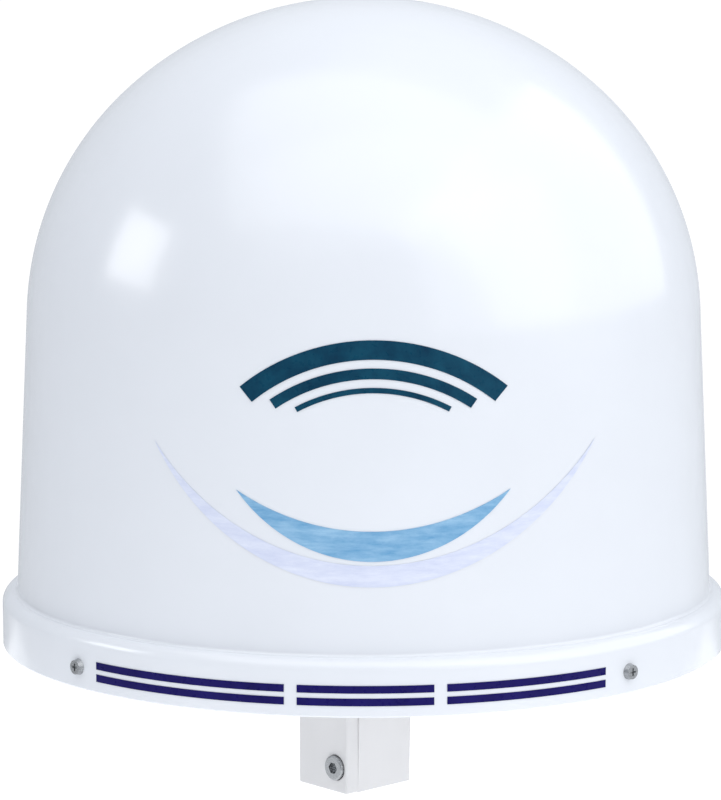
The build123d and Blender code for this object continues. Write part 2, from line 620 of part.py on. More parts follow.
with BuildPart() as turntable:
    with BuildSketch(level(TABLE_Z)):
        Circle(TABLE_R)
        with Locations(PINION_XY):
            Circle(PINION_LOBE_R)
        make_hull()
    extrude(amount=TABLE_TOP - TABLE_Z)
    extrude(discs(level(HUB_LOW), [(0, 0)], HUB_R), amount=HUB_TOP - HUB_LOW)
    extrude(discs(level(HUB_LOW), [(0, 0)], HUB_BORE_R), amount=30, mode=Mode.SUBTRACT)
    lower_seat = BEARING_ZS[0] + BEARING_W + 0.1 - HUB_LOW
    upper_seat = level(BEARING_ZS[1] - 0.1)
    extrude(discs(level(HUB_LOW), [(0, 0)], BEARING_OUT_R), amount=lower_seat, mode=Mode.SUBTRACT)
    extrude(discs(upper_seat, [(0, 0)], BEARING_OUT_R), amount=10, mode=Mode.SUBTRACT)
    extrude(discs(level(TABLE_Z), [PINION_XY], MOTOR_SPIGOT_R + 0.5), amount=10, mode=Mode.SUBTRACT)
    extrude(discs(level(TABLE_Z), ARM_BOLTS, M4_R + SLIP), amount=10, mode=Mode.SUBTRACT)
    extrude(discs(level(TABLE_Z), TABLE_HOLES, 7.0), amount=10, mode=Mode.SUBTRACT)
    table_circles = turntable.edges().filter_by(GeomType.CIRCLE)
    table_circles = table_circles.filter_by_position(Axis.Z, TABLE_TOP, TABLE_TOP)
    fillet(table_circles.filter_by(lambda edge: abs(edge.radius - HUB_R) < 0.1), 2.0)

with BuildPart() as azimuth_motor:
    motor_base = plate(level(TABLE_TOP), PINION_XY, MOTOR_SIZE, MOTOR_SIZE, 5)
    extrude(motor_base, amount=MOTOR_LENGTH)
    fillet(azimuth_motor.faces().sort_by(Axis.Z)[-1].edges(), 1.5)
    extrude(discs(level(TABLE_Z + 1), [PINION_XY], MOTOR_SPIGOT_R), amount=5)
    extrude(discs(level(PLATE_TOP + 1), [PINION_XY], MOTOR_SHAFT_R), amount=20)

with BuildPart() as azimuth_pinion:
    extrude(
        gear_outline(level(PLATE_TOP + 0.5), PINION_XY, PINION_TEETH, AZIMUTH_MODULE, 0), amount=5.5
    )
    extrude(discs(level(PLATE_TOP + 6), [PINION_XY], 6.0), amount=5)
    extrude(discs(level(PLATE_TOP), [PINION_XY], MOTOR_SHAFT_R + SLIP), amount=20, mode=Mode.SUBTRACT)


def arm(side):
    """Upright arm with a foot turned inwards and one bore for the elevation bush."""
    inner = min(side * ARM_X, side * (ARM_X + ARM_T))
    with BuildPart() as piece:
        with BuildSketch(side_plane(inner)):
            with Locations((0, PIVOT_Z)):
                Circle(ARM_HEAD_R)
            with Locations((0, TABLE_TOP + 12)):
                Rectangle(ARM_DEPTH, 24)
            make_hull()
            with Locations((0, PIVOT_Z)):
                Circle(BUSH_R + SLIP, mode=Mode.SUBTRACT)
            with Locations((0, ELEVATION_MOTOR_Z)):
                Circle(MOTOR_SPIGOT_R + 0.5, mode=Mode.SUBTRACT)
            with Locations((0, 186)):
                SlotOverall(34, 14, rotation=90, mode=Mode.SUBTRACT)
        extrude(amount=ARM_T)
        foot_middle = side * (ARM_X - ARM_FOOT / 2)
        extrude(plate(level(TABLE_TOP), (foot_middle, 0), ARM_FOOT + 1, ARM_DEPTH, 0.4), amount=ARM_T)
        extrude(discs(level(TABLE_TOP), ARM_BOLTS, M4_R + SLIP), amount=5, mode=Mode.SUBTRACT)
    return piece


left_arm = arm(-1)
right_arm = arm(1)

with BuildPart() as arm_screws:
    foot_top = TABLE_TOP + ARM_T
    head_top = level(foot_top + M4_HEAD_H)
    extrude(discs(level(foot_top), ARM_BOLTS, M4_HEAD_R), amount=M4_HEAD_H)
    extrude(crosses(head_top, ARM_BOLTS, *M4_CROSS), amount=-CROSS_DEPTH, mode=Mode.SUBTRACT)
    extrude(discs(level(TABLE_Z + 0.2), ARM_BOLTS, M4_R), amount=foot_top - TABLE_Z)

with BuildPart() as pivot_bushes:
    for side in (-1, 1):
        flange_face = min(side * (ARM_X - 1.0), side * ARM_X)
        sleeve_face = min(side * ARM_X, side * (ARM_X + ARM_T + 1))
        extrude(discs(side_plane(flange_face), [(0, PIVOT_Z)], 8.0), amount=1.0)
        extrude(discs(side_plane(sleeve_face), [(0, PIVOT_Z)], BUSH_R), amount=ARM_T + 1)
    extrude(discs(side_plane(-80), [(0, PIVOT_Z)], BUSH_BORE_R), amount=160, mode=Mode.SUBTRACT)

with BuildPart() as elevation_motor:
    body_face = -ARM_X
    extrude(plate(side_plane(body_face), (0, ELEVATION_MOTOR_Z), MOTOR_SIZE, MOTOR_SIZE, 5), amount=30)
    fillet(elevation_motor.faces().sort_by(Axis.X)[-1].edges(), 1.5)
    extrude(discs(side_plane(body_face), [(0, ELEVATION_MOTOR_Z)], MOTOR_SPIGOT_R), amount=-2)
    extrude(discs(side_plane(body_face), [(0, ELEVATION_MOTOR_Z)], MOTOR_SHAFT_R), amount=-17)


def belt_loop(grow):
    """Path of the belt round both pulleys, grown outwards."""
    with BuildSketch(side_plane(BELT_X - BELT_W)) as loop:
        with Locations((0, PIVOT_Z)):
            Circle(BIG_PULLEY_R + grow)
        with Locations((0, ELEVATION_MOTOR_Z)):
            Circle(SMALL_PULLEY_R + grow)
        make_hull()
    return loop.sketch


with BuildPart() as elevation_belt:
    extrude(belt_loop(BELT_GAP + BELT_T), amount=BELT_W)
    extrude(belt_loop(BELT_GAP), amount=BELT_W, mode=Mode.SUBTRACT)


def pulley(z, teeth, radius, flange_r, shaft_r):
    """Toothed pulley with two flanges and a hub towards the arm."""
    width = BELT_W + 0.6
    outer_face = BELT_X - BELT_W - 0.3
    with BuildPart() as piece:
        with BuildSketch(side_plane(outer_face)):
            with Locations((0, z)):
                Circle(radius)
                with PolarLocations(radius + 0.15, teeth):
                    Circle(0.75, mode=Mode.SUBTRACT)
        extrude(amount=width)
        extrude(discs(side_plane(outer_face - 1), [(0, z)], flange_r), amount=1)
        extrude(discs(side_plane(outer_face + width), [(0, z)], flange_r), amount=1)
        extrude(discs(side_plane(outer_face - 1), [(0, z)], shaft_r + SLIP), amount=20, mode=Mode.SUBTRACT)
    return piece


elevation_pulley = pulley(PIVOT_Z, BIG_PULLEY_TEETH, BIG_PULLEY_R, 30.8, PIVOT_R)
elevation_motor_pulley = pulley(ELEVATION_MOTOR_Z, SMALL_PULLEY_TEETH, SMALL_PULLEY_R, 11.6, MOTOR_SHAFT_R)

with BuildPart() as control_board:
    extrude(plate(level(TABLE_TOP + 5), (0, -49), 60, 34, 2), amount=1.6)
    extrude(discs(level(TABLE_TOP + 4), TABLE_BOARD, 1.6), amount=5, mode=Mode.SUBTRACT)

with BuildPart() as board_standoffs:
    extrude(discs(level(TABLE_TOP), TABLE_BOARD, 2.6), amount=5)
    extrude(discs(level(TABLE_TOP + 5), TABLE_BOARD, 1.5), amount=3)

# Chips and connectors on the control board: centre, width, depth and height
BOARD_CHIPS = (
    ((-8.0, -50.0), 14.0, 14.0, 1.4),
    ((12.0, -46.0), 9.0, 7.0, 1.4),
    ((12.0, -56.0), 10.0, 6.0, 2.6),
    ((-8.0, -37.0), 18.0, 5.0, 7.0),
    ((14.0, -37.0), 12.0, 5.0, 7.0),
)

with BuildPart() as board_chips:
    for chip_centre, chip_width, chip_depth, chip_height in BOARD_CHIPS:
        chip_outline = plate(level(TABLE_TOP + 6.6), chip_centre, chip_width, chip_depth, 0.4)
        extrude(chip_outline, amount=chip_height)

with BuildPart() as gps_antenna:
    extrude(plate(level(TABLE_TOP), GPS_XY, 28, 28, 2), amount=3)
    extrude(plate(level(TABLE_TOP + 3), GPS_XY, 24, 24, 1), amount=4)

with BuildPart() as rotary_joint:
    extrude(discs(level(HUB_TOP), [(0, 0)], HUB_R), amount=12)
    fillet(rotary_joint.faces().sort_by(Axis.Z)[-1].edges(), 2.0)
    extrude(discs(level(HUB_TOP), [(0, 0)], 17.0), amount=9, mode=Mode.SUBTRACT)
    extrude(discs(level(110), [(0, 0)], 3.5), amount=22)
    extrude(hexagons(level(HUB_TOP + 12), [(0, 0)], 9.0), amount=2)
    extrude(discs(level(HUB_TOP + 14), [(0, 0)], 3.2), amount=5)

# ---------------------------------------------------------------- cradle
spacer_points = [(x, v) for x in (-SPACER_XV, SPACER_XV) for v in (-SPACER_XV, SPACER_XV)]

with BuildPart() as cradle_frame:
    with BuildSketch(boresight_plane(CROSS_P)):
        RectangleRounded(2 * (CHEEK_X + CHEEK_T), 82, 6)
        for side_x in (-1, 1):
            for side_v in (-1, 1):
                with Locations((side_x * 40, side_v * 19)):
                    Circle(6.0, mode=Mode.SUBTRACT)
    extrude(amount=CROSS_T)
    for side in (-1, 1):
        inner_face = min(side * CHEEK_X, side * (CHEEK_X + CHEEK_T))
        with BuildSketch(cheek_plane(inner_face)):
            Circle(14.0)
            with Locations((-13, 0)):
                Rectangle(50, 20)
            with Locations((8, 0)):
                Rectangle(12, 52)
        extrude(amount=CHEEK_T)
    extrude(discs(boresight_plane(-2), [(0, 0)], FEED_BUSH_R + 4), amount=12)
    extrude(discs(boresight_plane(-2), [(0, 0)], FEED_BUSH_R + SLIP), amount=20, mode=Mode.SUBTRACT)
    extrude(discs(boresight_plane(8), [(SKEW_MOTOR_X, 0)], 5.0), amount=10, mode=Mode.SUBTRACT)
    extrude(discs(boresight_plane(8), spacer_points, M4_R + SLIP), amount=10, mode=Mode.SUBTRACT)
    extrude(discs(side_plane(-80), [(0, PIVOT_Z)], PIVOT_R + SLIP), amount=160, mode=Mode.SUBTRACT)

with BuildPart() as pivot_shafts:
    extrude(discs(side_plane(CHEEK_X - 4), [(0, PIVOT_Z)], PIVOT_R), amount=20)
    extrude(discs(side_plane(-CHEEK_X + 4), [(0, PIVOT_Z)], PIVOT_R), amount=-30)
    extrude(discs(side_plane(CHEEK_X - 6), [(0, PIVOT_Z)], 6.0), amount=5)
    extrude(discs(side_plane(-CHEEK_X + 6), [(0, PIVOT_Z)], 6.0), amount=-5)

with BuildPart() as dish_spacers:
    extrude(discs(boresight_plane(CROSS_P + CROSS_T), spacer_points, 4.0), amount=20)
    extrude(discs(boresight_plane(CROSS_P), spacer_points, M4_R + SLIP), amount=40, mode=Mode.SUBTRACT)
    with BuildSketch(DISH_SECTION):
        with BuildLine():
            rear_curve = Spline(*[(r, dish_curve(r, DISH_T + 0.02)) for r in (0, 20, 40, 60)])
            Polyline(rear_curve @ 1, (60, 60), (0, 60), rear_curve @ 0)
        make_face()
    revolve(axis=FEED_AXIS, mode=Mode.SUBTRACT)

with BuildPart() as reflector_dish:
    with BuildSketch(DISH_SECTION):
        with BuildLine():
            face_radii = (DISH_BORE_R, 40, 70, 100, DISH_R)
            front_curve = Spline(*[(r, dish_curve(r, 0)) for r in face_radii])
            back_curve = Spline(*[(r, dish_curve(r, DISH_T)) for r in face_radii])
            Line(front_curve @ 0, back_curve @ 0)
            Line(front_curve @ 1, back_curve @ 1)
        make_face()
        rim_p = dish_curve(DISH_R, DISH_T / 2)
        with Locations((DISH_R, rim_p)):
            Circle(1.8)
    revolve(axis=FEED_AXIS)
    extrude(discs(boresight_plane(20), spacer_points, M4_R + SLIP), amount=20, mode=Mode.SUBTRACT)

with BuildPart() as dish_screws:
    head_p = dish_curve(hypot(SPACER_XV, SPACER_XV), 0) + 0.95
    head_top = boresight_plane(head_p + 2.2)
    extrude(discs(boresight_plane(CROSS_P - 4), spacer_points, M4_R), amount=head_p - CROSS_P + 4)
    extrude(discs(boresight_plane(head_p), spacer_points, M4_HEAD_R), amount=2.2)
    extrude(crosses(head_top, spacer_points, *M4_CROSS), amount=-CROSS_DEPTH, mode=Mode.SUBTRACT)

with BuildPart() as feed_bush:
    extrude(discs(boresight_plane(-2), [(0, 0)], FEED_BUSH_R), amount=16.5)
    extrude(discs(boresight_plane(-2), [(0, 0)], FEED_R + SLIP), amount=20, mode=Mode.SUBTRACT)

with BuildPart() as skew_motor:
    extrude(discs(boresight_plane(CROSS_P), [(SKEW_MOTOR_X, 0)], 13.0), amount=-30)
    fillet(skew_motor.faces().sort_by(Axis(PIVOT, BORESIGHT))[0].edges(), 1.5)
    extrude(discs(boresight_plane(CROSS_P), [(SKEW_MOTOR_X, 0)], 4.5), amount=3)
    extrude(discs(boresight_plane(CROSS_P), [(SKEW_MOTOR_X, 0)], 1.5), amount=10)

with BuildPart() as gyro_module:
    extrude(plate(boresight_plane(CROSS_P), (-36, 0), 22, 26, 2), amount=-9)
    fillet(gyro_module.faces().sort_by(Axis(PIVOT, BORESIGHT))[0].edges(), 1.0)

with BuildPart() as counterweights:
    for side in (-1, 1):
        weight_face = boresight_plane(-38)
        extrude(plate(weight_face, (side * (CHEEK_X - 8.0), 0), 16, 34, 1.5), amount=16)

# ---------------------------------------------------------------- feed
with BuildPart() as feed_tube:
    tube_end = boresight_plane(FEED_LOW)
    extrude(discs(tube_end, [(0, 0)], FEED_R), amount=FEED_LENGTH)
    extrude(discs(tube_end, [(0, 0)], FEED_R - FEED_WALL), amount=FEED_LENGTH, mode=Mode.SUBTRACT)

with BuildPart() as feed_cap:
    with BuildSketch(DISH_SECTION):
        with BuildLine():
            Polyline(
                (0, 101),
                (FEED_R + SLIP, 101),
                (FEED_R + SLIP, 92),
                (FEED_R + 2, 92),
                (FEED_R + 2, 99),
                (CAP_R, CAP_P - 2),
                (CAP_R, CAP_P),
                (0, CAP_P),
                close=True,
            )
        make_face()
    revolve(axis=FEED_AXIS)

with BuildPart() as subreflector:
    with BuildSketch(DISH_SECTION):
        with BuildLine():
            Polyline(
                (0, CAP_P),
                (SUBREFLECTOR_R, CAP_P),
                (SUBREFLECTOR_R, CAP_P + 3),
                (12, CAP_P + 5),
                (0, CAP_P + 5),
                close=True,
            )
        make_face()
    revolve(axis=FEED_AXIS)

with BuildPart() as lnb_housing:
    extrude(discs(boresight_plane(FEED_LOW), [(0, 0)], 17.0), amount=LNB_P - FEED_LOW)
    extrude(plate(boresight_plane(LNB_P), (0, 0), 34, 30, 5), amount=-LNB_LENGTH)
    for fin in range(5):
        extrude(plate(boresight_plane(LNB_P - 6 - 7 * fin), (0, 0), 37, 33, 6), amount=-2.5)
    extrude(discs(boresight_plane(FEED_LOW), [(0, 0)], 6.0), amount=-20, mode=Mode.SUBTRACT)

LNB_PORTS = ((-8.0, -7.0), (8.0, -7.0), (-8.0, 7.0), (8.0, 7.0))
with BuildPart() as lnb_ports:
    port_face = boresight_plane(LNB_P - LNB_LENGTH)
    extrude(hexagons(port_face, LNB_PORTS, 11.0), amount=-2)
    extrude(discs(port_face, LNB_PORTS, 4.6), amount=-9)
    extrude(discs(port_face.offset(-4), LNB_PORTS, 1.0), amount=-10, mode=Mode.SUBTRACT)

with BuildPart() as skew_gear:
    extrude(
        gear_outline(boresight_plane(SKEW_GEAR_P), (0, 0), SKEW_GEAR_TEETH, SKEW_MODULE, 0),
        amount=SKEW_GEAR_W,
    )
    extrude(discs(boresight_plane(10), [(0, 0)], FEED_R + SLIP), amount=20, mode=Mode.SUBTRACT)
    extrude(
        discs(boresight_plane(10), ring_points(17.0, 6, 0), 3.4), amount=20, mode=Mode.SUBTRACT
    )

with BuildPart() as skew_pinion:
    extrude(
        gear_outline(
            boresight_plane(SKEW_GEAR_P + 0.2), (SKEW_MOTOR_X, 0), SKEW_PINION_TEETH, SKEW_MODULE, 10
        ),
        amount=SKEW_GEAR_W - 0.4,
    )
    extrude(discs(boresight_plane(10), [(SKEW_MOTOR_X, 0)], 1.5 + SLIP), amount=20, mode=Mode.SUBTRACT)

# ---------------------------------------------------------------- files
pieces = {
    "mast_socket_block": mast_socket_block,
    "clamp_cap": clamp_cap,
    "clamp_shoe": clamp_shoe,
    "clamp_screws": clamp_screws,
    "flange_bolts": flange_bolts,
    "flange_nuts": flange_nuts,
    "base_tray": base_tray,
    "cable_gland": cable_gland,
    "gland_seal": gland_seal,
    "gland_locknut": gland_locknut,
    "interface_board": interface_board,
    "backing_plate": backing_plate,
    "azimuth_spindle": azimuth_spindle,
    "spindle_screws": spindle_screws,
    "azimuth_ring_gear": azimuth_ring_gear,
    "ring_gear_screws": ring_gear_screws,
    "bearing_inner_races": bearing_inner_races,
    "bearing_balls": bearing_balls,
    "spindle_circlip": spindle_circlip,
    "radome": radome,
    "radome_gasket": radome_gasket,
    "radome_screws": radome_screws,
    "radome_nuts": radome_nuts,
    "front_arches": front_arches,
    "front_crescent": front_crescent,
    "pale_crescent": pale_crescent,
    "lip_stripes": lip_stripes,
    "turntable": turntable,
    "bearing_outer_races": bearing_outer_races,
    "azimuth_motor": azimuth_motor,
    "azimuth_pinion": azimuth_pinion,
    "left_arm": left_arm,
    "right_arm": right_arm,
    "arm_screws": arm_screws,
    "pivot_bushes": pivot_bushes,
    "elevation_motor": elevation_motor,
    "elevation_motor_pulley": elevation_motor_pulley,
    "elevation_belt": elevation_belt,
    "control_board": control_board,
    "board_standoffs": board_standoffs,
    "board_chips": board_chips,
    "gps_antenna": gps_antenna,
    "rotary_joint": rotary_joint,
    "cradle_frame": cradle_frame,
    "pivot_shafts": pivot_shafts,
    "elevation_pulley": elevation_pulley,
    "dish_spacers": dish_spacers,
    "reflector_dish": reflector_dish,
    "dish_screws": dish_screws,
    "feed_bush": feed_bush,
    "skew_motor": skew_motor,
    "gyro_module": gyro_module,
    "counterweights": counterweights,
    "feed_tube": feed_tube,
    "feed_cap": feed_cap,
    "subreflector": subreflector,
    "lnb_housing": lnb_housing,
    "lnb_ports": lnb_ports,
    "skew_gear": skew_gear,
    "skew_pinion": skew_pinion,
}

os.makedirs("parts", exist_ok=True)
for piece_name, piece in pieces.items():
    piece.part.label = piece_name
    export_step(piece.part, f"parts/{piece_name}.step")
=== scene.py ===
import json
import math

import bmesh
import bpy
from mathutils import Matrix, Vector


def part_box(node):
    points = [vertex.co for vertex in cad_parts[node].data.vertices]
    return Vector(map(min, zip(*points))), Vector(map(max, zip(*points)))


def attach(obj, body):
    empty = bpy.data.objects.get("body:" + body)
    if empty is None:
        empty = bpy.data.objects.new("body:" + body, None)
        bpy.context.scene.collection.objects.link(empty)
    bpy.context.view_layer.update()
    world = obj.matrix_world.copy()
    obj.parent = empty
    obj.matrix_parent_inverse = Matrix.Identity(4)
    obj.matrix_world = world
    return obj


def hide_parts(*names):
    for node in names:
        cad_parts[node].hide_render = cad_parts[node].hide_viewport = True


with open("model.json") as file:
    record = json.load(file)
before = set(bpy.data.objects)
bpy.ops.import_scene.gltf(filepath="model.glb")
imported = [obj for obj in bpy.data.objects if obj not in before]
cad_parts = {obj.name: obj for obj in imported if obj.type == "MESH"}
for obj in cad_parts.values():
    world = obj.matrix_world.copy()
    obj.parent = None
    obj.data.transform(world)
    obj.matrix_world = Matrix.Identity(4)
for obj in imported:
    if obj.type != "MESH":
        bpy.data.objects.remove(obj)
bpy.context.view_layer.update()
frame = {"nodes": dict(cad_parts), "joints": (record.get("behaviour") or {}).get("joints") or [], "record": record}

# The looks of a marine dome antenna: materials, finer meshes for what the eye rests on, studio and camera.
# Metres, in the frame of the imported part: +Z up along the mast, printed front facing -Y.

nodes = frame["nodes"]
MM = 0.001
SMOOTH_UP_TO = math.radians(32.0)  # edges sharper than this stay sharp


# ---------------------------------------------------------------- measures taken from the frame
joints = {joint["name"]: joint for joint in frame["joints"]}
PIVOT = Vector(joints["elevation"]["pos_m"])
BORESIGHT = Vector(joints["skew"]["axis"]).normalized()
REST_ELEVATION = math.degrees(math.asin(BORESIGHT.z))
radome_low, radome_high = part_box("radome")


# ---------------------------------------------------------------- shader helpers
def start_material(name, colour, roughness, metallic=0.0, **more):
    """A principled material with its even values set on the shader's own sockets."""
    mat = bpy.data.materials.new(name)
    mat.use_nodes = True
    shader = mat.node_tree.nodes["Principled BSDF"]
    shader.inputs["Base Color"].default_value = (*colour, 1.0)
    shader.inputs["Roughness"].default_value = roughness
    shader.inputs["Metallic"].default_value = metallic
    for socket, value in more.items():
        shader.inputs[socket.replace("_", " ")].default_value = value
    return mat, mat.node_tree, shader


def add_node(tree, kind, **inputs):
    """A shader node with its inputs set by name."""
    node = tree.nodes.new("ShaderNode" + kind)
    for socket, value in inputs.items():
        node.inputs[socket.replace("_", " ")].default_value = value
    return node


def place(tree, stretch=(1.0, 1.0, 1.0), turn=(0.0, 0.0, 0.0), shift=(0.0, 0.0, 0.0)):
    """Coordinates in the part's own frame, stretched or turned."""
    coords = add_node(tree, "TexCoord")
    mapping = add_node(tree, "Mapping", Scale=stretch, Rotation=turn, Location=shift)
    tree.links.new(coords.outputs["Object"], mapping.inputs["Vector"])
    return mapping.outputs["Vector"]


def noise(tree, where, scale, detail=3.0, roughness=0.55):
    """Soft noise, mostly between 0.3 and 0.7."""
    tex = add_node(tree, "TexNoise", Scale=scale, Detail=detail, Roughness=roughness)
    tree.links.new(where, tex.inputs["Vector"])
    return tex.outputs["Fac"]


def remap(tree, value, low, high, from_low=0.3, from_high=0.7):
    """Value spread from the range that noise fills to low and high."""
    node = add_node(tree, "MapRange")
    node.inputs["From Min"].default_value = from_low
    node.inputs["From Max"].default_value = from_high
    node.inputs["To Min"].default_value = low
    node.inputs["To Max"].default_value = high
    tree.links.new(value, node.inputs["Value"])
    return node.outputs["Result"]


def mix_colours(tree, factor, first, second):
    """Colour from first to second; either may be a fixed colour or another node's output."""
    node = tree.nodes.new("ShaderNodeMix")
    node.data_type = "RGBA"
    for socket, value in ((node.inputs[6], first), (node.inputs[7], second)):
        if isinstance(value, tuple):
            socket.default_value = (*value, 1.0)
        else:
            tree.links.new(value, socket)
    tree.links.new(factor, node.inputs[0])
    return node.outputs[2]


def bump(tree, shader, height, distance, strength):
    """Fine relief from a height between 0 and 1, its full depth in metres."""
    node = add_node(tree, "Bump", Strength=strength, Distance=distance)
    tree.links.new(height, node.inputs["Height"])
    tree.links.new(node.outputs["Normal"], shader.inputs["Normal"])


def shade(colour, factor):
    """The colour made darker or lighter."""
    return tuple(min(1.0, c * factor) for c in colour)


# ---------------------------------------------------------------- material families
def gelcoat(name, colour):
    """Glossy sprayed gelcoat: faint clouding, a soft orange peel and uneven polish."""
    mat, tree, shader = start_material(
        name, colour, 0.2, Specular_IOR_Level=0.5, Coat_Weight=0.5, Coat_Roughness=0.13
    )
    where = place(tree)
    clouds = noise(tree, where, 9.0, 4.0)
    tint = mix_colours(tree, remap(tree, clouds, 0.0, 1.0), shade(colour, 0.965), colour)
    tree.links.new(tint, shader.inputs["Base Color"])
    polish = noise(tree, where, 40.0, 5.0)
    tree.links.new(remap(tree, polish, 0.16, 0.27), shader.inputs["Roughness"])
    bump(tree, shader, noise(tree, where, 420.0, 2.0), 0.00003, 0.35)
    return mat


def vinyl(name, colour, pale, streak):
    """Printed film whose ink is uneven, drawn out along the dome's width."""
    mat, tree, shader = start_material(name, colour, 0.4, Specular_IOR_Level=0.12)
    where = place(tree, stretch=(1.0, 1.0, streak))
    washes = remap(tree, noise(tree, where, 60.0, 6.0, 0.7), 0.0, 1.0)
    tree.links.new(mix_colours(tree, washes, colour, pale), shader.inputs["Base Color"])
    tree.links.new(remap(tree, noise(tree, where, 300.0, 2.0), 0.24, 0.38), shader.inputs["Roughness"])
    bump(tree, shader, noise(tree, where, 900.0, 2.0), 0.00002, 0.3)
    return mat


def moulded(name, colour, roughness=0.45, grain=900.0, depth=0.00004, mottle=0.94):
    """Moulded plastic: fine spark-eroded grain, faint flow marks and handling marks in the gloss."""
    mat, tree, shader = start_material(name, colour, roughness)
    where = place(tree)
    flow = noise(tree, place(tree, stretch=(1.0, 1.0, 0.3)), 28.0, 5.0)
    tint = mix_colours(tree, remap(tree, flow, 0.0, 1.0), shade(colour, mottle), colour)
    tree.links.new(tint, shader.inputs["Base Color"])
    marks = noise(tree, where, 130.0, 6.0, 0.65)
    tree.links.new(
        remap(tree, marks, roughness * 0.8, min(1.0, roughness * 1.25)), shader.inputs["Roughness"]
    )
    bump(tree, shader, noise(tree, where, grain, 3.0), depth, 0.5)
    return mat


def machined(name, colour, roughness=0.3, stretch=(1.0, 1.0, 14.0), scale=160.0):
    """Machined or brushed metal: long fine scratches that vary the gloss."""
    mat, tree, shader = start_material(name, colour, roughness, metallic=1.0)
    lines = noise(tree, place(tree, stretch=stretch), scale, 8.0, 0.75)
    patches = noise(tree, place(tree), 45.0, 4.0)
    tint = mix_colours(tree, remap(tree, patches, 0.0, 1.0), shade(colour, 0.86), colour)
    tree.links.new(tint, shader.inputs["Base Color"])
    tree.links.new(remap(tree, lines, roughness * 0.65, roughness * 1.5), shader.inputs["Roughness"])
    bump(tree, shader, lines, 0.00003, 0.35)
    return mat


def painted(name, colour, roughness=0.42, grain=520.0, depth=0.00007, metallic=0.0):
    """Sprayed paint on metal with a pebbled surface and rubbed, duller patches."""
    mat, tree, shader = start_material(name, colour, roughness, metallic=metallic)
    where = place(tree)
    rubbed = noise(tree, where, 55.0, 7.0, 0.7)
    tint = mix_colours(tree, remap(tree, rubbed, 0.0, 1.0), shade(colour, 0.85), shade(colour, 1.1))
    tree.links.new(tint, shader.inputs["Base Color"])
    tree.links.new(remap(tree, rubbed, roughness * 0.8, roughness * 1.3), shader.inputs["Roughness"])
    bump(tree, shader, noise(tree, where, grain, 3.0), depth, 0.5)
    return mat


def rubber(name, colour):
    """Matt rubber with pale dust in its pores."""
    mat, tree, shader = start_material(name, colour, 0.75, Specular_IOR_Level=0.3)
    where = place(tree)
    dust = noise(tree, where, 90.0, 8.0, 0.7)
    tint = mix_colours(tree, remap(tree, dust, 0.0, 1.0), colour, shade(colour, 2.4))
    tree.links.new(tint, shader.inputs["Base Color"])
    tree.links.new(remap(tree, dust, 0.62, 0.9), shader.inputs["Roughness"])
    bump(tree, shader, noise(tree, where, 1500.0, 3.0), 0.00008, 0.6)
    return mat


def circuit(name, colour):
    """Solder mask over copper tracks that run along both edges of the board."""
    mat, tree, shader = start_material(name, colour, 0.32, Coat_Weight=0.3)
    where = place(tree)
    tracks = add_node(tree, "TexBrick", Scale=95.0, Mortar_Size=0.012, Brick_Width=0.9)
    tracks.inputs["Color1"].default_value = (0.0, 0.0, 0.0, 1.0)
    tracks.inputs["Color2"].default_value = (0.0, 0.0, 0.0, 1.0)
    tracks.inputs["Mortar"].default_value = (1.0, 1.0, 1.0, 1.0)
    tree.links.new(where, tracks.inputs["Vector"])
    tint = mix_colours(tree, tracks.outputs["Color"], colour, shade(colour, 2.3))
    pads = add_node(tree, "TexVoronoi", Scale=330.0)
    tree.links.new(where, pads.inputs["Vector"])
    dots = remap(tree, pads.outputs["Distance"], 1.0, 0.0, 0.16, 0.2)
    tint = mix_colours(tree, dots, tint, (0.78, 0.66, 0.40))
    tree.links.new(tint, shader.inputs["Base Color"])
    bump(tree, shader, tracks.outputs["Color"], 0.00006, 0.5)
    return mat


def spun_dish(name, colour):
    """Painted spun sheet: fine rings left by the spinning tool, centred on the boresight."""
    mat, tree, shader = start_material(name, colour, 0.38)
    tilt = math.radians(90.0 - REST_ELEVATION)
    where = place(tree, turn=(-tilt, 0.0, 0.0), shift=tuple(Matrix.Rotation(-tilt, 3, "X") @ -PIVOT))
    rings = add_node(tree, "TexWave", Scale=95.0, Distortion=1.2, Detail=3.0)
    rings.wave_type = "RINGS"
    rings.rings_direction = "Z"
    tree.links.new(where, rings.inputs["Vector"])
    dulled = noise(tree, place(tree), 35.0, 5.0)
    tint = mix_colours(tree, remap(tree, dulled, 0.0, 1.0), shade(colour, 0.92), colour)
    tree.links.new(tint, shader.inputs["Base Color"])
    tree.links.new(remap(tree, dulled, 0.3, 0.46), shader.inputs["Roughness"])
    bump(tree, shader, rings.outputs["Fac"], 0.00005, 0.35)
    return mat


